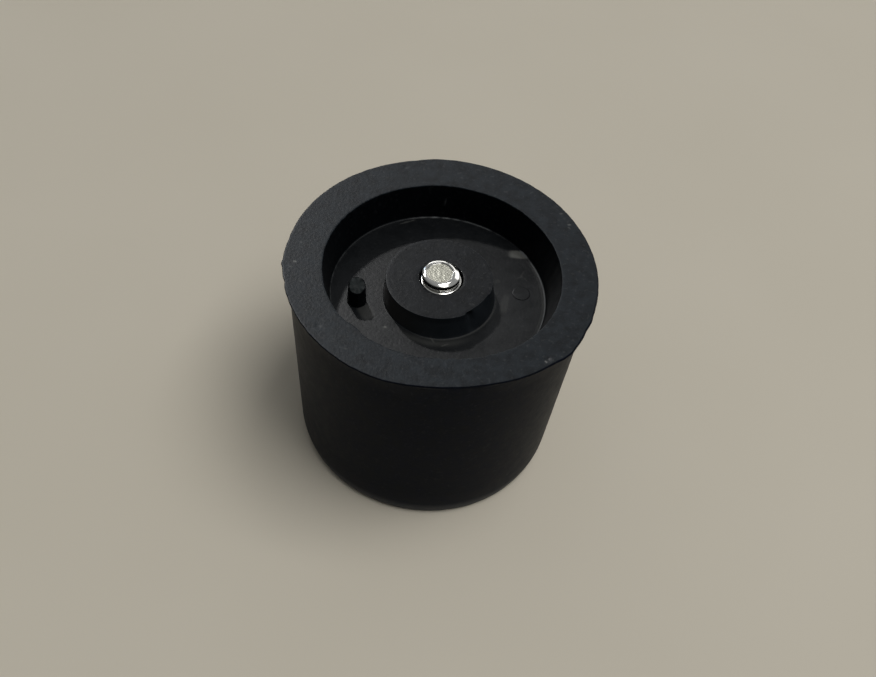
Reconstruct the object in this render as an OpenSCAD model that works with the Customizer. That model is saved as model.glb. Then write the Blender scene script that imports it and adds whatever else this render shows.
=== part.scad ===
// Rubber foot: a drafted black rubber block with a wide lipped rim, a round recess and a
// centre boss, and a short steel pin set in the boss. Both pieces are turned about +Z.
// The origin is the centre of the flat underside, and the rim faces up.

/* [Body] */
// Diameter across the lip at the rim's outer edge
rim_d = 38; // [34:0.5:46]
// Height from the underside to the rim's outer edge
body_h = 29.6; // [24:0.2:36]
// Draft of the side, in degrees from upright
side_draft = 2.8; // [1:0.1:5]
// Radius of the side's inward curve above the underside
base_round = 9; // [6:0.5:12]
// Height at which that curve starts
base_round_h = 2.7; // [1:0.1:4]

/* [Rim] */
// How far the moulding lip stands out from the side
lip_reach = 0.6; // [0.2:0.1:1]
// Height of the lip where it meets the side
lip_h = 0.5; // [0.3:0.1:1]
// Thickness of the lip at its outer edge
lip_edge = 0.2; // [0.1:0.05:0.25]
// How far the rim face falls from its outer edge to the recess
rim_fall = 0.1; // [0:0.05:0.8]

/* [Recess] */
// Diameter of the recess where it meets the rim face
recess_d = 28.8; // [27:0.1:31]
// Depth of the recess floor below the rim's outer edge
recess_depth = 5.1; // [4:0.1:7]
// Draft of the recess wall, in degrees from upright
wall_draft = 11; // [5:0.5:15]
// Radius between the recess wall and floor
floor_round = 0.3; // [0.1:0.05:0.6]

/* [Boss] */
// Diameter of the boss at its top
boss_d = 13; // [10:0.1:14]
// Height of the boss above the recess floor
boss_h = 2.9; // [2:0.1:4]
// Draft of the boss's side, in degrees from upright
boss_draft = 6; // [2:0.5:8]
// Radius at the foot of the boss
boss_foot_round = 0.5; // [0.2:0.1:0.8]

/* [Peg and pad] */
// Distance of the peg from the centre
peg_reach = 10.2; // [9.5:0.1:10.8]
// Turn of the peg about the axis, in degrees
peg_turn = 196; // [150:1:220]
// Diameter of the peg at its tip
peg_tip_d = 2; // [1:0.1:2.2]
// Diameter of the peg at its foot
peg_foot_d = 2.3; // [1.2:0.1:2.6]
// Height of the peg above the recess floor
peg_h = 2.9; // [0.5:0.1:3.5]
// Distance of the low pad from the centre
pad_reach = 10.4; // [9.5:0.1:10.8]
// Turn of the pad about the axis, in degrees
pad_turn = 9; // [-30:1:30]
// Diameter of the pad
pad_d = 2.2; // [1:0.1:2.6]
// Height of the pad above the recess floor
pad_h = 0.12; // [0.05:0.01:0.3]

/* [Steel pin] */
// Diameter of the shank in the rubber
shank_d = 4; // [3:0.1:4.2]
// Length of the shank below the collar
shank_l = 12; // [6:0.5:18]
// Diameter of the collar
collar_d = 5.1; // [4.7:0.1:6]
// Thickness of the collar
collar_h = 0.8; // [0.5:0.1:1.5]
// Bevel round the collar's top edge
collar_bevel = 0.2; // [0.1:0.05:0.3]
// How far the collar's top lies below the boss's top
collar_sink = 0.25; // [0:0.05:0.5]
// Diameter of the pin's end above the collar
end_d = 4.6; // [4.2:0.05:4.6]
// Height of the pin's end above the collar
end_h = 1.05; // [0.8:0.05:2]
// Depth of the groove between the collar and the end
groove_depth = 0.2; // [0.05:0.01:0.3]
// Width of the groove between the collar and the end
groove_w = 0.3; // [0.1:0.05:0.5]
// Diameter of the end face at its edge
face_d = 3.5; // [3:0.1:3.8]
// How far the end face lies below the edge round it
face_sink = 0.12; // [0.05:0.01:0.2]

/* [Clearances] */
// Gap round the shank in its bore
shank_gap = 0.02; // [0.01:0.01:0.1]
// Gap round the collar in the mouth of the bore
collar_gap = 0.25; // [0.1:0.05:0.5]
// Free space below the shank's end
bore_end_gap = 0.5; // [0.1:0.1:2]

/* [Hidden] */
$fn = 96;

// body
rim_r = rim_d / 2;
side_top_r = rim_r - lip_reach;
side_top_z = body_h - lip_h;
side_foot_r = side_top_r - (side_top_z - base_round_h) * tan(side_draft);
base_round_centre = [side_foot_r - base_round * cos(side_draft), base_round_h + base_round * sin(side_draft)];
base_r = base_round_centre[0] + sqrt(pow(base_round, 2) - pow(base_round_centre[1], 2));

// recess: the wall leans out from the floor to the rim face
recess_r = recess_d / 2;
recess_z = body_h - rim_fall;
floor_z = body_h - recess_depth;
floor_r = recess_r - (recess_z - floor_z) * tan(wall_draft);

// boss
boss_r = boss_d / 2;
boss_z = floor_z + boss_h;
boss_foot_r = boss_r + boss_h * tan(boss_draft);

// bore, and the wider mouth that the collar sits in
collar_z = boss_z - collar_sink;
mouth_z = collar_z - collar_h;
mouth_r = collar_d / 2 + collar_gap;
bore_r = shank_d / 2 + shank_gap;
bore_z = mouth_z - shank_l - bore_end_gap;

// pin
shank_r = shank_d / 2;
collar_r = collar_d / 2;
end_r = end_d / 2;
face_r = face_d / 2;
end_z = collar_z + end_h;
end_bevel = (end_r - face_r) * 2 / 3;

// Filler in the corner between the floor and a wall that leans away from it by lean degrees.
// side is 1 where the floor lies inward of the corner, and -1 where it lies outward.
module corner_filler(corner_r, lean, radius, side) {
    reach = radius / tan(45 + lean / 2);
    centre = [corner_r - side * reach, floor_z + radius];
    on_wall = [corner_r + side * reach * sin(lean), floor_z + reach * cos(lean)];
    difference() {
        polygon([[corner_r, floor_z], [centre[0], floor_z], on_wall]);
        translate(centre) circle(r = radius);
    }
}

// Half section of the rubber, without its bore
module foot_section() {
    polygon([
        [0, 0],
        [base_r, 0],
        [side_foot_r, base_round_h],
        [side_top_r, side_top_z],
        [rim_r, body_h - lip_edge],
        [rim_r, body_h],
        [recess_r, recess_z],
        [floor_r, floor_z],
        [boss_foot_r, floor_z],
        [boss_r, boss_z],
        [0, boss_z]
    ]);
    // the inward curve above the underside
    intersection() {
        translate(base_round_centre) circle(r = base_round);
        translate([base_round_centre[0], 0]) square([base_round, base_round_h]);
    }
    corner_filler(floor_r, wall_draft, floor_round, 1);
    corner_filler(boss_foot_r, boss_draft, boss_foot_round, -1);
}

// Half section of the steel pin
module pin_section() {
    polygon([
        [0, mouth_z - shank_l],
        [shank_r, mouth_z - shank_l],
        [shank_r, mouth_z],
        [collar_r, mouth_z],
        [collar_r, collar_z - collar_bevel],
        [collar_r - collar_bevel, collar_z],
        [end_r - groove_depth, collar_z],
        [end_r - groove_depth, collar_z + groove_w],
        [end_r, collar_z + groove_w],
        [end_r, end_z - end_bevel],
        [end_r - end_bevel, end_z],
        [face_r, end_z],
        [face_r - face_sink, end_z - face_sink],
        [0, end_z - face_sink]
    ]);
}

// The moulded rubber, with the bore for the pin, the peg and the low pad across from it
module rubber_foot() {
    color("#1c1d1f") union() {
        difference() {
            rotate_extrude() foot_section();
            translate([0, 0, bore_z]) cylinder(r = bore_r, h = boss_z - bore_z);
            translate([0, 0, mouth_z]) cylinder(r = mouth_r, h = boss_z - mouth_z);
        }
        rotate([0, 0, peg_turn]) translate([peg_reach, 0, floor_z - pad_h])
            cylinder(d1 = peg_foot_d, d2 = peg_tip_d, h = peg_h + pad_h);
        rotate([0, 0, pad_turn]) translate([pad_reach, 0, floor_z - pad_h]) cylinder(d = pad_d, h = 2 * pad_h);
    }
}

// The turned steel pin, seated by its collar in the mouth of the bore
module steel_pin() {
    color("#c9c8c2") rotate_extrude() pin_section();
}

rubber_foot();
steel_pin();
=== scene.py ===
"""Rubber foot with a steel pin: the looks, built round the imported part.

The frame's axes: +Z up, origin at the centre of the flat underside, rim up. Sizes below are in
millimetres and become metres where a mesh, a lamp or the camera is placed. Azimuths are in
degrees from the right: 0 is right, 90 is the back and -90 is the front.
"""
import math

import bpy
import numpy as np
from mathutils import Matrix, Vector


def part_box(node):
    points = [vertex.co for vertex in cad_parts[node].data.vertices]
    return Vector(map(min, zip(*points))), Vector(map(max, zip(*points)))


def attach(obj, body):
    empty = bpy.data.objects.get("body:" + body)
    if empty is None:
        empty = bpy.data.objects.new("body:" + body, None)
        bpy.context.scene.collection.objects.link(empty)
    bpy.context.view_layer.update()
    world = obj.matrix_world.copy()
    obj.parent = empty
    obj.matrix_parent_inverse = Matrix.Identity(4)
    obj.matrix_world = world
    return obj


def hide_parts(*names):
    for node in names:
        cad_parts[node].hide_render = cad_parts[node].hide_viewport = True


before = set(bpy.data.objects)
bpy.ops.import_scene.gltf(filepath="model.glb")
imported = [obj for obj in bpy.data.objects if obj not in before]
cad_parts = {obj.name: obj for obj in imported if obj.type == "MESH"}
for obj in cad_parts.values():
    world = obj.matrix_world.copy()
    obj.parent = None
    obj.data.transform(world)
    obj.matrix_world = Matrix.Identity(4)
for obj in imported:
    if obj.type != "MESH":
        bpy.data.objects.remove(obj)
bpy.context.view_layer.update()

MM = 0.001

# ---------------------------------------------------------------- sizes, in mm and degrees
foot_low, foot_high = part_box("rubber_foot")
pin_low, pin_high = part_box("steel_pin")
RIM_R = (foot_high.x - foot_low.x) / 2 / MM
BODY_H = foot_high.z / MM
PIN_TOP = pin_high.z / MM
PIN_FOOT = pin_low.z / MM
COLLAR_R = (pin_high.x - pin_low.x) / 2 / MM

# The side and its lower edge
SIDE_DRAFT = 2.8
BASE_ROUND = 9.0      # radius of the lower edge's curve
BASE_ROUND_H = 2.7    # height at which that curve meets the side
BASE_SLACK = 1.2      # the curve is drawn this much tighter, so that it clears its neighbours
BASE_BEVEL = 1.6      # breadth of the bevel between the curve and the flat underside
# The lip and the rim
LIP_REACH = 0.6
LIP_H = 0.5
LIP_FACE_H = 0.26     # the lip's flare ends this far below the rim
RIM_FALL = 0.06       # the rim is this much lower at the recess than at the lip
# The flash at the recess edge: depths below the rim's height there
FLASH_TOP = 0.12
FLASH_UNDER = 0.22
FLASH_ROOT = 0.28
# The recess and the boss
RECESS_R = 14.4
FLOOR_Z = BODY_H - 5.1
FLOOR_R = 13.42
BOSS_Z = FLOOR_Z + 2.9
BOSS_R = 6.5
BOSS_FOOT_R = 6.8
BOSS_SKIRT = 0.07     # the boss's finish runs this far out on to the floor
# The pin and the bore
COLLAR_Z = BOSS_Z - 0.25
MOUTH_Z = COLLAR_Z - 0.8
MOUTH_R = COLLAR_R + 0.17
PIN_OFF = 0.15        # the pin stands this far to the right of the axis
BORE_R = 2.02
BORE_Z = PIN_FOOT - 0.5
SHANK_R = 2.0
GROOVE_R = 2.1
GROOVE_TOP_R = 2.12
END_R = 2.3
BEVEL_R = 1.88
FACE_R = 1.66
FACE_SINK = 0.12      # the end face lies this far below the pin's top
FACE_BUMPS = 0.007    # usual height of the sheared face's bumps
FACE_GRAIN = 20       # radians a mm of the finest of those bumps
# The peg and the pad on the recess floor
PEG_REACH = 10.2
PEG_TURN = 196.0
PEG_SUNK = 0.15
PEG_FOOT_R = 1.2
PEG_LOW_R = 1.15
PEG_TOP_R = 1.0
PEG_EDGE_H = 2.85
PEG_MIDDLE_H = 2.86
PEG_CENTRE_H = 2.83
PAD_REACH = 10.4
PAD_TURN = 9.0
PAD_SUNK = 0.1
PAD_R = 1.1
PAD_H = 0.09

FOOT_SEGMENTS = 540
PIN_SEGMENTS = 288
PEG_SEGMENTS = 96
LEAST_REACH = 0.008   # the shortest tangent of a rounded corner


# ---------------------------------------------------------------- shapes as functions
def angles(count):
    """Evenly spaced azimuths of a full turn, in degrees from -180."""
    return np.arange(count) * 360.0 / count - 180.0


def off_by(a, at):
    """Signed turn from one azimuth to another, the short way round."""
    return (a - at + 180.0) % 360.0 - 180.0


def swell(a, at, width):
    """A bell: 1 at one azimuth, falling as exp of minus the squared turn over the width."""
    return np.exp(-(off_by(a, at) / width) ** 2)


def ring(r, at, width):
    """A bell: 1 at one radius, falling as exp of minus the squared distance over the width."""
    return np.exp(-((r - at) / width) ** 2)


def span(a, start, end, soft):
    """1 between two azimuths and 0 outside, with both ends eased over a soft turn."""
    middle = (start + end) / 2
    half = (end - start) / 2
    return 1 / (1 + np.exp((np.abs(off_by(a, middle)) - half) / soft))


def ragged(a, lowest, highest, seed):
    """Periodic roughness of unit size: cosines of whole counts per turn with seeded phases."""
    rng = np.random.default_rng(seed)
    counts = np.arange(lowest, highest + 1)
    phases = rng.uniform(0, 2 * math.pi, counts.size)
    waves = np.cos(np.radians(a)[:, None] * counts + phases)
    return waves.sum(axis=1) / math.sqrt(counts.size / 2)


def smooth(x, low, high):
    """Eased step: 0 below low, 1 above high, and 3t^2 - 2t^3 between."""
    t = np.clip((x - low) / (high - low), 0, 1)
    return t * t * (3 - 2 * t)


def steps(count):
    """The fractions 1/count, 2/count and so on up to 1, one for each new row of a grid."""
    return (np.arange(1, count + 1) / count)[:, None, None]


def rounded_profile(corners, a):
    """A broken line of (radius, height) with rounded corners, for every azimuth at once.

    Each corner is (radius, height, rounding, arc steps, run steps, finish). The rounding is a
    true arc, drawn as a rational curve of the second degree: it leaves the line one tangent
    length before the corner, where the tangent length is rounding / tan(half the corner's
    angle), and the corner's weight is the sine of that half angle. No arc's tangent is shorter
    than LEAST_REACH, so that none shrinks to a point where the line runs nearly straight. Runs
    between arcs are straight. The finish is the number of the material on the run up to the
    corner and its arc. Returns radii, heights and the finish of each band between two rows.
    """
    points = [
        np.stack([np.broadcast_to(size, a.shape) for size in corner[:2]], -1)
        for corner in corners
    ]
    rows = [points[0][None]]
    finishes = []
    last = points[0]
    for here, (before, corner, after) in enumerate(zip(points, points[1:], points[2:]), start=1):
        rounding, arc_steps, run_steps, finish = corners[here][2:]
        finishes += [finish] * (run_steps + arc_steps)
        back = before - corner
        back = back / np.linalg.norm(back, axis=-1, keepdims=True)
        on = after - corner
        on = on / np.linalg.norm(on, axis=-1, keepdims=True)
        half = np.arccos(np.clip((back * on).sum(-1, keepdims=True), -1, 1)) / 2
        reach = np.maximum(rounding / np.tan(half), LEAST_REACH * bool(arc_steps))
        first = corner + back * reach
        end = corner + on * reach
        rows.append(last + (first - last) * steps(run_steps))
        if arc_steps:
            t = steps(arc_steps)
            of_first = (1 - t) ** 2
            of_corner = 2 * t * (1 - t) * np.sin(half)
            of_end = t ** 2
            total = of_first + of_corner + of_end
            rows.append((of_first * first + of_corner * corner + of_end * end) / total)
        last = end
    run_steps, finish = corners[-1][4:]
    finishes += [finish] * run_steps
    rows.append(last + (points[-1] - last) * steps(run_steps))
    rows = np.concatenate(rows)
    return rows[..., 0], rows[..., 1], np.array(finishes)


def turned(a, radius, height):
    """Carry a profile round the Z axis: x = r cos a, y = r sin a, z = h, as whole grids."""
    turn = np.radians(a)
    return np.stack([radius * np.cos(turn), radius * np.sin(turn), height], -1)


def set_out(grid, reach, azimuth):
    """Move a piece's points away from the axis, by a reach in mm towards an azimuth."""
    grid[..., 0] += reach * math.cos(math.radians(azimuth))
    grid[..., 1] += reach * math.sin(math.radians(azimuth))


def closed_mesh(name, grid, finishes, materials):
    """Make a closed mesh from a grid of rings whose first and last rows are single points.

    Neighbouring rings are joined by four-sided faces with the last azimuth joined to the first,
    and each pole by a fan. Rows run up the outside, so faces point outwards. Each band between
    two rows takes the material whose number it is given.
    """
    rows, count = grid.shape[:2]
    points = np.concatenate([grid[0, :1], grid[1:-1].reshape(-1, 3), grid[-1, :1]]) * MM
    index = 1 + np.arange((rows - 2) * count).reshape(rows - 2, count)
    beside = np.roll(index, -1, axis=1)
    quads = np.stack([index[:-1], beside[:-1], beside[1:], index[1:]], -1).reshape(-1, 4)
    tip = np.full(count, len(points) - 1)
    start = np.stack([np.zeros(count, int), beside[0], index[0]], -1)
    end = np.stack([index[-1], beside[-1], tip], -1)
    mesh = bpy.data.meshes.new(name)
    mesh.from_pydata(points.tolist(), [], start.tolist() + quads.tolist() + end.tolist())
    mesh.polygons.foreach_set("use_smooth", np.ones(len(mesh.polygons), bool))
    bands = np.repeat(finishes, count)
    mesh.polygons.foreach_set("material_index", bands.astype(np.int32))
    for material in materials:
        mesh.materials.append(material)
    mesh.update()
    piece = bpy.data.objects.new(name, mesh)
    bpy.context.scene.collection.objects.link(piece)
    return piece


# ---------------------------------------------------------------- marks and wear on the rubber
# Light marks, some of them painted light: x, y, length, width, turn in degrees, strength
FLOOR_MARKS_AND_PAINTED_LIGHT = [
    (9.75, 8.3, 2.5, 1.3, 3, 0.8),           # the pale patch at the back right
    (10.3, 4.9, 1.3, 0.18, 70, 0.2),         # three strokes that meet, behind the pad
    (10.0, 4.3, 0.9, 0.16, 20, 0.18),
    (10.7, 4.1, 0.8, 0.14, -50, 0.15),
    (8.3, -0.4, 3.0, 0.9, 84, 0.15),         # a painted reflection in a pale strip at the boss's right, and a faint smear beside it
    (7.2, 3.2, 0.7, 0.6, 30, 0.12),
    (-8.4, -4.4, 2.4, 1.7, -60, 0.2),        # painted light that lightens the peg's shadow in front of the peg
    (-5.86, -6.43, 0.32, 0.32, 0, 0.9),      # one bright crumb at the front left
    (-0.1, -7.5, 1.0, 0.16, -50, 0.25),      # three short scratches, at the front and the back
    (1.5, -8.1, 0.9, 0.16, 30, 0.25),
    (-5.1, 11.8, 2.1, 0.18, 30, 0.3),
]
RIM_MARKS = [
    (-17.35, -2.29, 0.34, 0.24, 0, 0.5),     # crumbs at the left
    (-17.18, 0.92, 0.28, 0.2, 0, 0.25),
    (-16.18, -5.26, 0.28, 0.2, 30, 0.2),
    (-17.8, -3.1, 0.28, 0.2, 0, 0.12),
    (14.32, 11.35, 0.3, 0.2, 40, 0.2),       # crumbs at the back right
    (15.37, 9.54, 0.34, 0.2, 20, 0.25),
    (15.38, 9.0, 0.28, 0.2, 0, 0.16),
    (-9.6, -14.47, 0.3, 0.24, 0, 0.13),      # crumbs at the front left
    (-11.3, -13.64, 0.28, 0.2, 0, 0.1),
    (13.0, -12.85, 0.34, 0.22, -30, 0.35),   # the pale side of the deepest pit
]
# Light marks on the recess wall: azimuth, height, degrees covered, height covered, turn, strength
WALL_MARKS = [
    (27.0, 28.2, 0.9, 0.22, 0, 0.8),
    (94.2, 26.5, 0.9, 0.25, 0, 0.3),
    (93.2, 26.72, 0.9, 0.25, 0, 0.4),
    (92.2, 26.92, 0.9, 0.22, 0, 0.3),
]
# Small pits in the rim: x, y, radius, depth
PITS = [
    (13.34, 12.66, 0.35, 0.06),
    (16.12, 4.23, 0.4, 0.05),
    (-13.1, -11.6, 0.3, 0.05),
    (-6.2, 16.6, 0.3, 0.04),
    (13.1, -12.45, 0.4, 0.16),
]
# Radii of the two pale lines on the floor near where it meets the wall; at the right they are painted
# highlights along the wall's foot
EDGE_LINE_R = 13.3
INNER_EDGE_LINE_R = 13.0


def marks(u, v, drawn):
    """Light marks on a face with two coordinates u and v: the greatest of a list of ovals.

    Each is (u, v, length, width, turn, strength): a rounded bar where the fourth powers of the
    two distances in half lengths and half widths sum to one, at its full strength inside 0.7 of
    that and eased to 0 at 1.3.
    """
    cover = np.zeros_like(u)
    for at_u, at_v, length, width, turn, strength in drawn:
        c = math.cos(math.radians(turn))
        s = math.sin(math.radians(turn))
        along = ((u - at_u) * c + (v - at_v) * s) / (length / 2)
        across = ((v - at_v) * c - (u - at_u) * s) / (width / 2)
        reach = (along ** 4 + across ** 4) ** 0.25
        cover = np.maximum(cover, strength * (1 - smooth(reach, 0.7, 1.3)))
    return cover


def add_wear_and_painted_light(foot, grid, skirt_r):
    """Store how far each point of the rubber is lightened, from 0 to 1, by wear and dust and by painted
    light.

    The cover is a sum of: the listed marks on the floor, the rim and the recess wall, some of which
    are painted light; a pale band on the underside and the lowest 3 mm of the side, a painted
    reflection of the pale floor on the lower edge; bells in radius that draw two thin lines near the
    floor's edge at the right, painted highlights along the wall's foot, and a rough one from the back
    right round to the front left; a broad faint bell round the front of the boss, painted light that
    lightens the boss's shadow, and a thin line there, a painted highlight along the boss's foot; and
    a pale haze on the boss's left side, painted light where it faces the lamps.
    """
    x, y, z = grid[..., 0], grid[..., 1], grid[..., 2]
    r = np.hypot(x, y)
    a = np.degrees(np.arctan2(y, x))
    on_floor = (z > FLOOR_Z - 0.1) & (z < FLOOR_Z + 0.12)
    on_rim = z > BODY_H - 0.2
    on_wall = (z > FLOOR_Z + 0.5) & (z < BODY_H - 0.7) & (r > FLOOR_R) & (r < RECESS_R + 0.4)
    on_boss_side = (z > FLOOR_Z + 0.3) & (z < BOSS_Z - 0.15) & (r > BOSS_R - 2.5) & (r < BOSS_R + 1.5)

    cover = on_floor * marks(x, y, FLOOR_MARKS_AND_PAINTED_LIGHT) + on_rim * marks(x, y, RIM_MARKS)
    # A pale band up the lowest 3 mm: a painted reflection of the pale floor on the lower edge.
    cover += 0.3 * (1 - smooth(z, 0.8, 3.0))
    # Two thin lines at the right: painted highlights along the foot of the wall.
    right_painted_highlights = 0.9 * ring(r, EDGE_LINE_R, 0.09) + 0.3 * ring(r, INNER_EDGE_LINE_R, 0.08)
    cover += on_floor * span(a, -20, 34, 2.5) * right_painted_highlights
    back_line = 0.12 + 0.4 * span(a, 62, 108, 2)
    streaks = 1 + 0.4 * ragged(angles(FOOT_SEGMENTS), 8, 70, 9)
    cover += on_floor * span(a, 55, 215, 4) * back_line * streaks * ring(r, EDGE_LINE_R, 0.08)
    past_skirt = r - skirt_r
    # A broad faint bell round the front of the boss: painted light that lightens the boss's shadow on
    # the floor.
    cover += on_floor * 0.2 * span(a, -118, -62, 6) * ring(past_skirt, 0.7, 0.45)
    # A thin line just outside the boss's foot: a painted highlight.
    cover += on_floor * 0.35 * span(a, -100, -8, 6) * ring(past_skirt, 0.05, 0.09)
    cover += on_wall * marks(a, z, WALL_MARKS)
    cover = np.clip(cover, 0, 1)
    # A pale haze painted on the boss's left side: painted light where it faces the lamps.
    cover += on_boss_side * 0.5 * span(a, -220, -125, 14)

    values = np.concatenate([cover[0, :1], cover[1:-1].ravel(), cover[-1, :1]])
    layer = foot.data.attributes.new("wear_and_painted_light", "FLOAT", "POINT")
    layer.data.foreach_set("value", values.astype(np.float32))


# ---------------------------------------------------------------- the moulded foot
def lower_edge(a):
    """The lower edge: where its curve ends, its height there, and the curve's outer corner.

    A circle of radius BASE_ROUND touches the drafted side at the height BASE_ROUND_H. It is
    followed down to the lift, which is greatest at the front left. The end's radius comes from
    the cosine of the circle's lean there, and the corner is where the tangents at the circle's
    two ends cross.
    """
    draft = math.radians(SIDE_DRAFT)
    side_foot_r = RIM_R - LIP_REACH - (BODY_H - LIP_H - BASE_ROUND_H) * math.tan(draft)
    lift = 0.1 + 0.5 * swell(a, -128, 40)
    lean = np.arcsin((BASE_ROUND_H + BASE_ROUND * math.sin(draft) - lift) / BASE_ROUND)
    end_r = side_foot_r - BASE_ROUND * (math.cos(draft) - np.cos(lean))
    tangent = BASE_ROUND * np.tan((lean - draft) / 2)
    corner_r = side_foot_r - tangent * math.sin(draft)
    corner_z = BASE_ROUND_H - tangent * math.cos(draft)
    return end_r, lift, corner_r, corner_z


def lip_outline(a):
    """The lip's radius and the breadth of its bevel, for each azimuth.

    The lip draws in at the front, stands a little proud from the right round to the back and a
    little short at the back left. It has a bump and a dent at the left, a bulge at the front
    right and fine roughness all round. The bevel is broad at the right only.
    """
    lip = RIM_R - 0.72 * span(a, -98, -58, 5)
    lip = lip + 0.1 * span(a, -22, 100, 3) - 0.2 * span(a, 102, 180, 2)
    lip = lip + 0.16 * swell(a, -172, 1.3) - 0.14 * swell(a, -163, 1.6) + 0.16 * swell(a, -19, 4)
    lip = lip + 0.5 * swell(a, -35, 6.5) + 0.18 * swell(a, -27, 4)
    lip = lip + 0.01 * ragged(a, 9, 90, 3)
    bevel = 0.03 + 0.15 * span(a, -46, 40, 6)
    return lip, bevel


def recess_outline(a):
    """The recess edge's radius, the reach of its flash and the breadth of its roll.

    The edge is a circle that is set forwards and a little to the right, with small steps in it
    from the right round to the left, and finely rough. The flash is a thin skin that reaches
    inwards at the front, most of all at its left end. The roll is how broadly the rim's inner
    edge bends down.
    """
    edge = RECESS_R + 0.11 * np.cos(np.radians(a)) - 0.37 * np.sin(np.radians(a))
    edge = edge + 0.12 * span(a, -30, 100, 3) - 0.08 * span(a, 68, 100, 1.5)
    edge = edge - 0.05 * span(a, 101, 200, 2)
    edge = edge + 0.012 * ragged(a, 7, 70, 5)
    flash = 0.36 * span(a, -121, -54, 4) + 0.22 * swell(a, -84, 13) + 0.4 * swell(a, -129, 5)
    flash = flash * (1 + 0.1 * ragged(a, 20, 110, 8)) + 0.02
    roll = 0.04 + 0.24 * span(a, -152, -94, 5)
    return edge, flash, roll


def boss_outline(a):
    """The boss's foot radius, its shoulder's radius and height, and its top edge's radius.

    The boss is wider at the front left, and its foot is wider all along the front. From a nick
    at the front right round to the right the top edge is cut back, and meets the side at the
    shoulder, 0.8 mm lower. At the nick the shoulder goes in and up, as a small wedge.
    """
    foot_r = BOSS_FOOT_R + 0.18 * swell(a, -110, 50) - 0.1 * swell(a, -10, 40)
    foot_r = foot_r + 0.16 * swell(a, -142, 25)
    foot_r = foot_r + 0.38 * span(a, -112, 15, 10)
    top_r = BOSS_R + 0.26 * swell(a, -135, 45) - 0.1 * swell(a, -35, 30)
    cut = span(a, -56, -16, 0.7) * (1 - 0.012 * np.abs(off_by(a, -56)))
    wedge = swell(a, -51, 4)
    shoulder_r = top_r + 0.09 - 0.03 * cut - 0.7 * wedge
    shoulder_z = BOSS_Z - 0.8 + 0.3 * wedge
    edge_r = top_r - 0.36 * cut + 0.16 * wedge
    return foot_r, shoulder_r, shoulder_z, edge_r


def moulded_foot(materials):
    """The rubber: one closed turned surface from the underside's centre, round the lower edge,
    up the drafted side, over the moulding lip, across the rim with its slight fall, over the
    flash, down the recess wall, across the floor, over the boss, and down the bore to its end.

    The outlines change with the azimuth, as the four functions above say. Each pit lowers the
    rim by a bell of the distance from its centre.
    """
    a = angles(FOOT_SEGMENTS)
    base_r, lift, curve_r, curve_z = lower_edge(a)
    side_top = RIM_R - LIP_REACH - 0.1 * swell(a, -80, 30)
    lip, bevel = lip_outline(a)
    edge, flash, roll = recess_outline(a)
    boss_foot, shoulder_r, shoulder_z, boss_edge = boss_outline(a)
    skirt_r = boss_foot + BOSS_SKIRT
    mouth = MOUTH_R + PIN_OFF * np.cos(np.radians(a))
    slope = RIM_FALL / (RIM_R - RECESS_R)
    edge_z = BODY_H - RIM_FALL
    side, rim, wall, floor, top, boss_side = range(6)
    # radius, height, rounding, arc steps, run steps, finish
    corners = [
        (0, 0, 0, 0, 0, side),
        (base_r - BASE_BEVEL, 0, 0.3, 2, 3, side),
        (base_r, lift, 0.1, 3, 1, side),
        (curve_r, curve_z, BASE_ROUND - BASE_SLACK, 12, 1, side),
        (side_top, BODY_H - LIP_H, 0.12, 2, 10, side),
        (lip, BODY_H - LIP_FACE_H, 0.05, 2, 1, side),
        (lip - bevel, BODY_H, 0.06, 3, 2, side),
        (edge - flash + roll, edge_z - flash * slope, 0.05, 3, 24, rim),
        (edge - flash, edge_z - FLASH_TOP, 0.04, 2, 2, rim),
        (edge - flash + 0.04, edge_z - FLASH_UNDER, 0.03, 1, 1, wall),
        (edge, edge_z - FLASH_ROOT, 0.03, 1, 1, wall),
        (FLOOR_R, FLOOR_Z, 0.3, 6, 6, wall),
        (skirt_r, FLOOR_Z, 0, 0, 50, floor),
        (boss_foot, FLOOR_Z, 0.05, 3, 1, boss_side),
        (shoulder_r, shoulder_z, 0.1, 1, 6, boss_side),
        (boss_edge, BOSS_Z, 0.06, 4, 4, boss_side),
        (mouth, BOSS_Z, 0.1, 4, 9, top),
        (mouth, MOUTH_Z, 0, 0, 2, wall),
        (BORE_R, MOUTH_Z, 0, 0, 1, wall),
        (BORE_R, BORE_Z, 0, 0, 2, wall),
        (0, BORE_Z, 0, 0, 1, wall),
    ]
    radius, height, finishes = rounded_profile(corners, a)
    grid = turned(a, radius, height)
    on_rim = height > edge_z - 0.03
    for pit_x, pit_y, pit_r, depth in PITS:
        away = np.hypot(grid[..., 0] - pit_x, grid[..., 1] - pit_y) / pit_r
        grid[..., 2] -= on_rim * depth * np.exp(-away ** 2)
    foot = closed_mesh("moulded_foot", grid, finishes, materials)
    add_wear_and_painted_light(foot, grid, skirt_r)
    return foot


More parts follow.
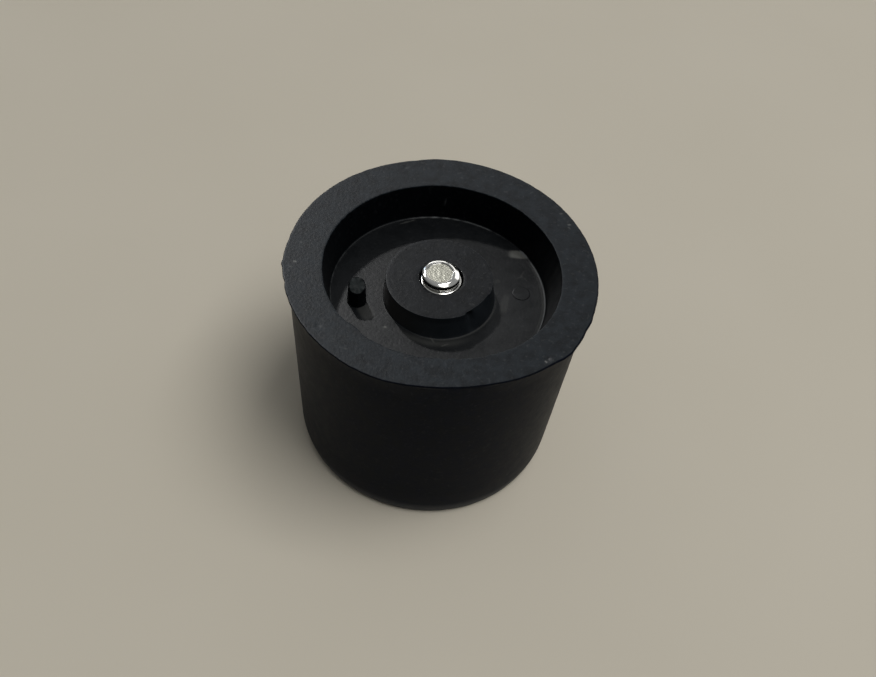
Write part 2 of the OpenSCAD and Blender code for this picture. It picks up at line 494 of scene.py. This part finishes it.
def torn_peg(materials):
    """The short peg on the recess floor: a turned stub, a little oval, with a torn, slanting top.

    The top is a plane that falls towards the front, plus a few seeded waves at its edge, and the
    foot goes a little way into the floor.
    """
    a = angles(PEG_SEGMENTS)
    turn = np.radians(a)
    round_r = 1 + 0.03 * np.cos(2 * turn + 0.7) + 0.015 * ragged(a, 3, 14, 4)
    top_r = PEG_TOP_R * round_r
    edge_z = FLOOR_Z + PEG_EDGE_H + 0.55 * np.sin(turn) + 0.05 * ragged(a, 3, 9, 6)
    middle_z = FLOOR_Z + PEG_MIDDLE_H + 0.27 * np.sin(turn)
    side, torn = range(2)
    # radius, height, rounding, arc steps, run steps, finish
    corners = [
        (0, FLOOR_Z - PEG_SUNK, 0, 0, 0, side),
        (PEG_FOOT_R * round_r, FLOOR_Z - PEG_SUNK, 0, 0, 2, side),
        (PEG_LOW_R * round_r, FLOOR_Z + 0.1, 0.1, 2, 1, side),
        (top_r, edge_z, 0.12, 5, 10, side),
        (0.5 * top_r, middle_z, 0.3, 3, 5, torn),
        (0, FLOOR_Z + PEG_CENTRE_H, 0, 0, 5, torn),
    ]
    radius, height, finishes = rounded_profile(corners, a)
    grid = turned(a, radius, height)
    set_out(grid, PEG_REACH, PEG_TURN)
    return closed_mesh("torn_peg", grid, finishes, materials)


def low_pad(material):
    """The low round pad across from the peg: a turned disc that stands PAD_H above the floor."""
    a = angles(PEG_SEGMENTS)
    # radius, height, rounding, arc steps, run steps, finish
    corners = [
        (0, FLOOR_Z - PAD_SUNK, 0, 0, 0, 0),
        (PAD_R, FLOOR_Z - PAD_SUNK, 0, 0, 2, 0),
        (PAD_R, FLOOR_Z + PAD_H, 0.03, 3, 2, 0),
        (0, FLOOR_Z + PAD_H, 0, 0, 8, 0),
    ]
    radius, height, finishes = rounded_profile(corners, a)
    grid = turned(a, radius, height)
    set_out(grid, PAD_REACH, PAD_TURN)
    return closed_mesh("low_pad", grid, finishes, [material])


# ---------------------------------------------------------------- the steel pin
def turned_pin(materials):
    """The pin: one closed turned surface from the shank's end up to the sunken end face.

    The collar's top edge is rounded and a groove parts it from the end, which is a little oval.
    A bevel with rounded edges leads from the end's side to its flat ring; the ring and the
    sunken face lie 0.15 mm to the left of the end's side, so the bevel is broadest at the right.
    The face is lifted and dropped by a sum of seeded cosines in x and y, of up to FACE_GRAIN
    radians a mm and with phases up to 9 radians, as a sheared end is. Above the collar the pin
    goes over by about 0.1 mm to the left and the back.
    """
    a = angles(PIN_SEGMENTS)
    end_r = END_R * (1 + 0.008 * np.cos(np.radians(2 * a + 30)) + 0.0015 * ragged(a, 3, 9, 12))
    to_left = 0.15 * np.cos(np.radians(a))
    bevel_r = BEVEL_R - to_left
    face_r = FACE_R - to_left + 0.025 * ragged(a, 2, 9, 14)
    bevel_drop = 0.6 * (end_r - bevel_r)
    polished, sheared = range(2)
    # radius, height, rounding, arc steps, run steps, finish
    corners = [
        (0, PIN_FOOT, 0, 0, 0, polished),
        (SHANK_R, PIN_FOOT, 0.25, 4, 2, polished),
        (SHANK_R, MOUTH_Z, 0, 0, 4, polished),
        (COLLAR_R, MOUTH_Z, 0.05, 2, 1, polished),
        (COLLAR_R, COLLAR_Z, 0.2, 9, 2, polished),
        (GROOVE_R, COLLAR_Z, 0.05, 3, 5, polished),
        (GROOVE_TOP_R, COLLAR_Z + 0.22, 0.04, 2, 3, polished),
        (end_r, COLLAR_Z + 0.3, 0.08, 4, 1, polished),
        (end_r, PIN_TOP - bevel_drop, 0.2, 8, 3, polished),
        (bevel_r, PIN_TOP, 0.5, 14, 4, polished),
        (face_r, PIN_TOP, 0.03, 4, 1, polished),
        (face_r - 0.1, PIN_TOP - FACE_SINK - 0.02, 0.04, 3, 2, polished),
        (0, PIN_TOP - FACE_SINK, 0, 0, 26, sheared),
    ]
    radius, height, finishes = rounded_profile(corners, a)
    grid = turned(a, radius, height)
    x, y = grid[..., 0], grid[..., 1]
    on_face = (1 - smooth(radius, 1.3, 1.5)) * (height > PIN_TOP - 0.3)
    waves = np.random.default_rng(21).uniform(-1, 1, (40, 4))
    bumps = sum(np.cos((wx * x + wy * y) * FACE_GRAIN + phase * 9) for wx, wy, phase, _ in waves)
    grid[..., 2] += on_face * (bumps / math.sqrt(len(waves))) * FACE_BUMPS
    on_end = smooth(height, COLLAR_Z, COLLAR_Z + 0.5)
    grid[..., 0] += PIN_OFF - 0.1 * on_end
    grid[..., 1] += 0.12 * on_end
    return closed_mesh("turned_pin", grid, finishes, materials)


# ---------------------------------------------------------------- materials
CLOUD_MM = 1.4        # size of the bloom's clouds
SPECK_MM = 0.5        # spacing of the finest dust
MOTTLE_MM = 40        # size of the floor's mottle
NOISE_LOW = 0.3       # the noise keeps mostly between these two
NOISE_HIGH = 0.7
DUST_FROM = 0.6       # the dust shows where its own noise is above this, most from the next up
DUST_FULL = 0.8
DUST_SHARE = 0.05     # the dust takes on at most this share of the mark's colour
ROUGH_SWING = 0.04    # the roughness goes this far up and down with the clouds


def linear(code):
    """An sRGB hex colour as linear red, green, blue and 1."""
    parts = [int(code[i:i + 2], 16) / 255 for i in (1, 3, 5)]
    return [c / 12.92 if c <= 0.04045 else ((c + 0.055) / 1.055) ** 2.4 for c in parts] + [1.0]


def per_mm(size):
    """The texture scale at which a pattern on Object coordinates repeats about every size mm."""
    return 1 / (size * MM)


def add(tree, kind, settings=None, inputs=None):
    """Add one node, set its own settings, and set or link each of its inputs."""
    node = tree.nodes.new(kind)
    for key, value in (settings or {}).items():
        setattr(node, key, value)
    for key, value in (inputs or {}).items():
        if isinstance(value, bpy.types.NodeSocket):
            tree.links.new(value, node.inputs[key])
        else:
            node.inputs[key].default_value = value
    return node


def new_material(name):
    """A node material with its shader and output: returns it, its tree, the shader and the
    Object coordinates."""
    material = bpy.data.materials.new(name)
    material.use_nodes = True
    tree = material.node_tree
    tree.nodes.clear()
    shader = add(tree, "ShaderNodeBsdfPrincipled")
    add(tree, "ShaderNodeOutputMaterial", None, {"Surface": shader.outputs["BSDF"]})
    place = add(tree, "ShaderNodeTexCoord").outputs["Object"]
    return material, tree, shader, place


def black_rubber(name, clean, bloom, mark, roughness, gloss, grain_mm, relief_mm):
    """Carbon-black rubber: two blacks mixed in clouds, as a thin uneven bloom lies on it, with
    the stored wear and painted light and the faintest dust over them in the mark's colour.

    The relief is the grain of the mould's own surface. Real grain is finer than 0.1 mm and would
    not show, so it is drawn as coarse as it needs to show, from 0.4 to 0.8 mm.
    """
    material, tree, shader, place = new_material(name)
    clouds = add(tree, "ShaderNodeTexNoise", None,
                 {"Vector": place, "Scale": per_mm(CLOUD_MM), "Detail": 5.0, "Roughness": 0.65})
    grain = add(tree, "ShaderNodeTexNoise", None,
                {"Vector": place, "Scale": per_mm(grain_mm), "Detail": 3.0, "Roughness": 0.6})
    cover = add(tree, "ShaderNodeMapRange", None,
                {"Value": clouds.outputs["Fac"], "From Min": NOISE_LOW, "From Max": NOISE_HIGH})
    colour = add(tree, "ShaderNodeMix", {"data_type": "RGBA"},
                 {"Factor": cover.outputs["Result"], "A": linear(clean), "B": linear(bloom)})
    dust = add(tree, "ShaderNodeTexNoise", None,
               {"Vector": place, "Scale": per_mm(SPECK_MM), "Detail": 1.0})
    specks = add(tree, "ShaderNodeMapRange", None,
                 {"Value": dust.outputs["Fac"], "From Min": DUST_FROM, "From Max": DUST_FULL,
                  "To Max": DUST_SHARE})
    # The stored cover: wear and dust, and painted highlights, reflections and lightened shadows.
    wear_and_painted_light = add(tree, "ShaderNodeAttribute", {"attribute_name": "wear_and_painted_light"})
    light = add(tree, "ShaderNodeMath", {"operation": "MAXIMUM"},
                {0: wear_and_painted_light.outputs["Fac"], 1: specks.outputs["Result"]})
    marked = add(tree, "ShaderNodeMix", {"data_type": "RGBA"},
                 {"Factor": light.outputs["Value"], "A": colour.outputs["Result"], "B": linear(mark)})
    tree.links.new(marked.outputs["Result"], shader.inputs["Base Color"])
    rough = add(tree, "ShaderNodeMapRange", None,
                {"Value": clouds.outputs["Fac"], "From Min": NOISE_LOW, "From Max": NOISE_HIGH,
                 "To Min": roughness - ROUGH_SWING, "To Max": roughness + ROUGH_SWING})
    tree.links.new(rough.outputs["Result"], shader.inputs["Roughness"])
    shader.inputs["Specular IOR Level"].default_value = gloss
    bump = add(tree, "ShaderNodeBump", None,
               {"Strength": 1.0, "Distance": relief_mm * MM, "Height": grain.outputs["Fac"]})
    tree.links.new(bump.outputs["Normal"], shader.inputs["Normal"])
    return material


def steel(name, light, dark, roughness, grit_mm, relief_mm):
    """Steel: a mottle between two greys, with the same mottle as relief.

    Real tool marks and grit are finer than 0.1 mm and would not show, so the mottle is drawn as
    coarse as it needs to show.
    """
    material, tree, shader, place = new_material(name)
    grit = add(tree, "ShaderNodeTexNoise", None,
               {"Vector": place, "Scale": per_mm(grit_mm), "Detail": 4.0, "Roughness": 0.7})
    colour = add(tree, "ShaderNodeMix", {"data_type": "RGBA"},
                 {"Factor": grit.outputs["Fac"], "A": linear(dark), "B": linear(light)})
    tree.links.new(colour.outputs["Result"], shader.inputs["Base Color"])
    shader.inputs["Roughness"].default_value = roughness
    shader.inputs["Metallic"].default_value = 1.0
    bump = add(tree, "ShaderNodeBump", None,
               {"Strength": 1.0, "Distance": relief_mm * MM, "Height": grit.outputs["Fac"]})
    tree.links.new(bump.outputs["Normal"], shader.inputs["Normal"])
    return material


def plain_floor():
    """Matt paint, rolled on: one pale warm colour with a very faint mottle and no clear gloss."""
    material, tree, shader, place = new_material("pale_matt_floor")
    mottle = add(tree, "ShaderNodeTexNoise", None,
                 {"Vector": place, "Scale": per_mm(MOTTLE_MM), "Detail": 2.0})
    colour = add(tree, "ShaderNodeMix", {"data_type": "RGBA"},
                 {"Factor": mottle.outputs["Fac"], "A": linear("#cac2b1"), "B": linear("#d0c8b8")})
    tree.links.new(colour.outputs["Result"], shader.inputs["Base Color"])
    shader.inputs["Roughness"].default_value = 0.9
    shader.inputs["Specular IOR Level"].default_value = 0.05
    return material


# ---------------------------------------------------------------- the stage
CAMERA_FRONT = 89.5   # from the rim's centre to the camera, and then to the point it aims at
CAMERA_UP = 94.74
AIM_RIGHT = 0.66
AIM_FRONT = 1.11
AIM_DOWN = 12.5
CAMERA_ROLL = 7.225
LENS = 44.45
SENSOR = 36.0
NEAREST = 0.005       # in metres, as the next two are
FLOOR_HALF = 3.0
LAMP_REACH = 1.0
SKY_BRIGHT = (50, 50)  # azimuth and elevation of the surround's brightest place
SKY_DIM = -0.2
SKY_FULL = 0.7


def toward(azimuth, elevation):
    """The direction of an azimuth and an elevation in degrees, as a unit vector."""
    az = math.radians(azimuth)
    el = math.radians(elevation)
    return Vector((math.cos(az) * math.cos(el), math.sin(az) * math.cos(el), math.sin(el)))


def lamp(name, azimuth, elevation, width, height, level, colour="#ffffff"):
    """A soft rectangular lamp that looks at the foot's rim from LAMP_REACH away.

    level is the share of a white level surface's full brightness that it gives: such a lamp of
    power P at distance d gives P sin(elevation) / (pi d)^2. Its width and height are in metres.
    """
    light = bpy.data.lights.new(name, "AREA")
    light.shape = "RECTANGLE"
    light.size = width
    light.size_y = height
    light.color = linear(colour)[:3]
    light.energy = level * (math.pi * LAMP_REACH) ** 2 / math.sin(math.radians(elevation))
    holder = bpy.data.objects.new(name, light)
    bpy.context.scene.collection.objects.link(holder)
    way = toward(azimuth, elevation)
    holder.location = Vector((0, 0, BODY_H * MM)) + way * LAMP_REACH
    holder.rotation_euler = way.to_track_quat("Z", "Y").to_euler()
    return holder


def make_camera():
    """The camera in front of and above the foot, aimed near its middle and rolled a little."""
    data = bpy.data.cameras.new("camera")
    data.sensor_width = SENSOR
    data.lens = LENS
    data.clip_start = NEAREST
    camera = bpy.data.objects.new("camera", data)
    bpy.context.scene.collection.objects.link(camera)
    place = Vector((0, -CAMERA_FRONT, BODY_H + CAMERA_UP)) * MM
    aim = Vector((AIM_RIGHT, -AIM_FRONT, BODY_H - AIM_DOWN)) * MM
    back = (place - aim).normalized()
    turn = back.to_track_quat("Z", "Y").to_matrix().to_4x4()
    roll = Matrix.Rotation(math.radians(CAMERA_ROLL), 4, "Z")
    camera.matrix_world = Matrix.Translation(place) @ turn @ roll
    bpy.context.scene.camera = camera


def make_floor():
    """A wide level square under the foot, as one face with its corners at plus and minus half."""
    half = FLOOR_HALF
    corners = [(-half, -half, 0), (half, -half, 0), (half, half, 0), (-half, half, 0)]
    mesh = bpy.data.meshes.new("floor")
    mesh.from_pydata(corners, [], [(0, 1, 2, 3)])
    floor = bpy.data.objects.new("floor", mesh)
    bpy.context.scene.collection.objects.link(floor)
    floor.data.materials.append(plain_floor())


def make_world(low, high):
    """A pale surround, brightest high up at the back right and dim low down at the front left.

    Its strength is an eased step of the dot product of a direction with the brightest one: low
    below SKY_DIM and high above SKY_FULL.
    """
    world = bpy.data.worlds.new("surround")
    world.use_nodes = True
    tree = world.node_tree
    way = add(tree, "ShaderNodeTexCoord").outputs["Generated"]
    along = add(tree, "ShaderNodeVectorMath", {"operation": "DOT_PRODUCT"},
                {0: way, 1: toward(*SKY_BRIGHT)}).outputs["Value"]
    level = add(tree, "ShaderNodeMapRange", {"interpolation_type": "SMOOTHSTEP"},
                {"Value": along, "From Min": SKY_DIM, "From Max": SKY_FULL,
                 "To Min": low, "To Max": high})
    background = tree.nodes["Background"]
    background.inputs["Color"].default_value = linear("#e9ecee")
    tree.links.new(level.outputs["Result"], background.inputs["Strength"])
    bpy.context.scene.world = world


make_camera()
make_floor()
make_world(low=0.11, high=0.36)
lamp("overhead", azimuth=-15, elevation=72, width=0.65, height=0.5, level=0.53)
# These five show only in the gloss of rubber and steel, and light no matt surface.
glints = [
    lamp("back_left_sheen", azimuth=120, elevation=44.4, width=0.05, height=0.05, level=0.52),
    lamp("left_fill", azimuth=145, elevation=40, width=0.2, height=0.2, level=0.08),
    lamp("window", azimuth=57, elevation=17, width=0.8, height=0.8, level=0.075),
    lamp("low_back", azimuth=96, elevation=20, width=0.4, height=0.35, level=0.04),
    lamp("low_left", azimuth=123, elevation=24, width=0.15, height=0.25, level=0.012,
         colour="#b8d4ff"),
]
for glint in glints:
    glint.visible_diffuse = False

# Black rubber, moulded against a turned steel mould: a deep black, its faint blue painted-in
# bluish light, with a weak, soft sheen and hardly any relief.
side_rubber = black_rubber("moulded_rubber_side", clean="#01060e", bloom="#040a18", mark="#6a6c70",
                           roughness=0.44, gloss=0.048, grain_mm=0.5, relief_mm=0.01)
# Black rubber with bloom, the dry wax film that forms on a moulded face in the open: it turns
# the black to an uneven charcoal grey, and dulls and roughens it. Its faint blue is painted-in
# bluish light.
rim_rubber = black_rubber("bloomed_rubber_rim", clean="#0e1114", bloom="#1d2328", mark="#a0a09c",
                          roughness=0.43, gloss=0.1, grain_mm=0.4, relief_mm=0.03)
# Black rubber, moulded against a smooth core and out of reach of hands: even and nearly as
# dark as black gets.
wall_rubber = black_rubber("smooth_rubber_wall", clean="#030406", bloom="#05070a", mark="#5a5c5c",
                           roughness=0.45, gloss=0.07, grain_mm=0.8, relief_mm=0.006)
# Black rubber, moulded against the end of the same core: a neutral black and the smoothest of
# the rubbers, so that it takes a broad pale sheen from low light.
floor_rubber = black_rubber("smooth_rubber_floor", clean="#07090b", bloom="#0d0f11", mark="#5a5a56",
                            roughness=0.38, gloss=0.2, grain_mm=0.4, relief_mm=0.02)
# Black rubber with a thinner bloom than the rim's, as a sheltered moulded face has: a dark
# grey with the same dull, slightly grainy sheen.
boss_rubber = black_rubber("bloomed_rubber_boss", clean="#080a0c", bloom="#101317", mark="#a0a09c",
                           roughness=0.43, gloss=0.098, grain_mm=0.4, relief_mm=0.03)
# Black rubber, moulded smooth: its colour is painted greyer than the wall's as painted reflected light,
# with a painted brownish haze on its left, where the light falls, and a soft gloss along the side.
boss_side_rubber = black_rubber("smooth_rubber_boss_side", clean="#101417", bloom="#171b1f",
                                mark="#4a4642", roughness=0.5, gloss=0.2, grain_mm=0.8,
                                relief_mm=0.006)
# Black rubber, torn when the moulding's feed was pulled off: rough, matt and greyer.
torn_rubber = black_rubber("torn_rubber", clean="#0e1212", bloom="#1c2222", mark="#a0a09c",
                           roughness=0.6, gloss=0.14, grain_mm=0.5, relief_mm=0.03)
# Plain steel, turned and polished: a bright, faintly warm metal that mirrors its surroundings
# with a slight blur.
polished_steel = steel("polished_turned_steel", light="#eae8e2", dark="#d8d6d0",
                       roughness=0.1, grit_mm=0.6, relief_mm=0.0003)
# Plain steel, sheared off and left so: a dull metal in light and dark grey blotches.
sheared_steel = steel("sheared_steel_face", light="#a6a59a", dark="#48473f",
                      roughness=0.42, grit_mm=0.35, relief_mm=0.03)

foot = moulded_foot([side_rubber, rim_rubber, wall_rubber, floor_rubber, boss_rubber, boss_side_rubber])
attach(foot, "root")
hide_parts("rubber_foot")

for small in (torn_peg([wall_rubber, torn_rubber]), low_pad(floor_rubber)):
    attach(small, "root")
    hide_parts("rubber_foot")

pin = turned_pin([polished_steel, sheared_steel])
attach(pin, "root")
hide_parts("steel_pin")

bpy.context.scene.view_settings.view_transform = "Standard"
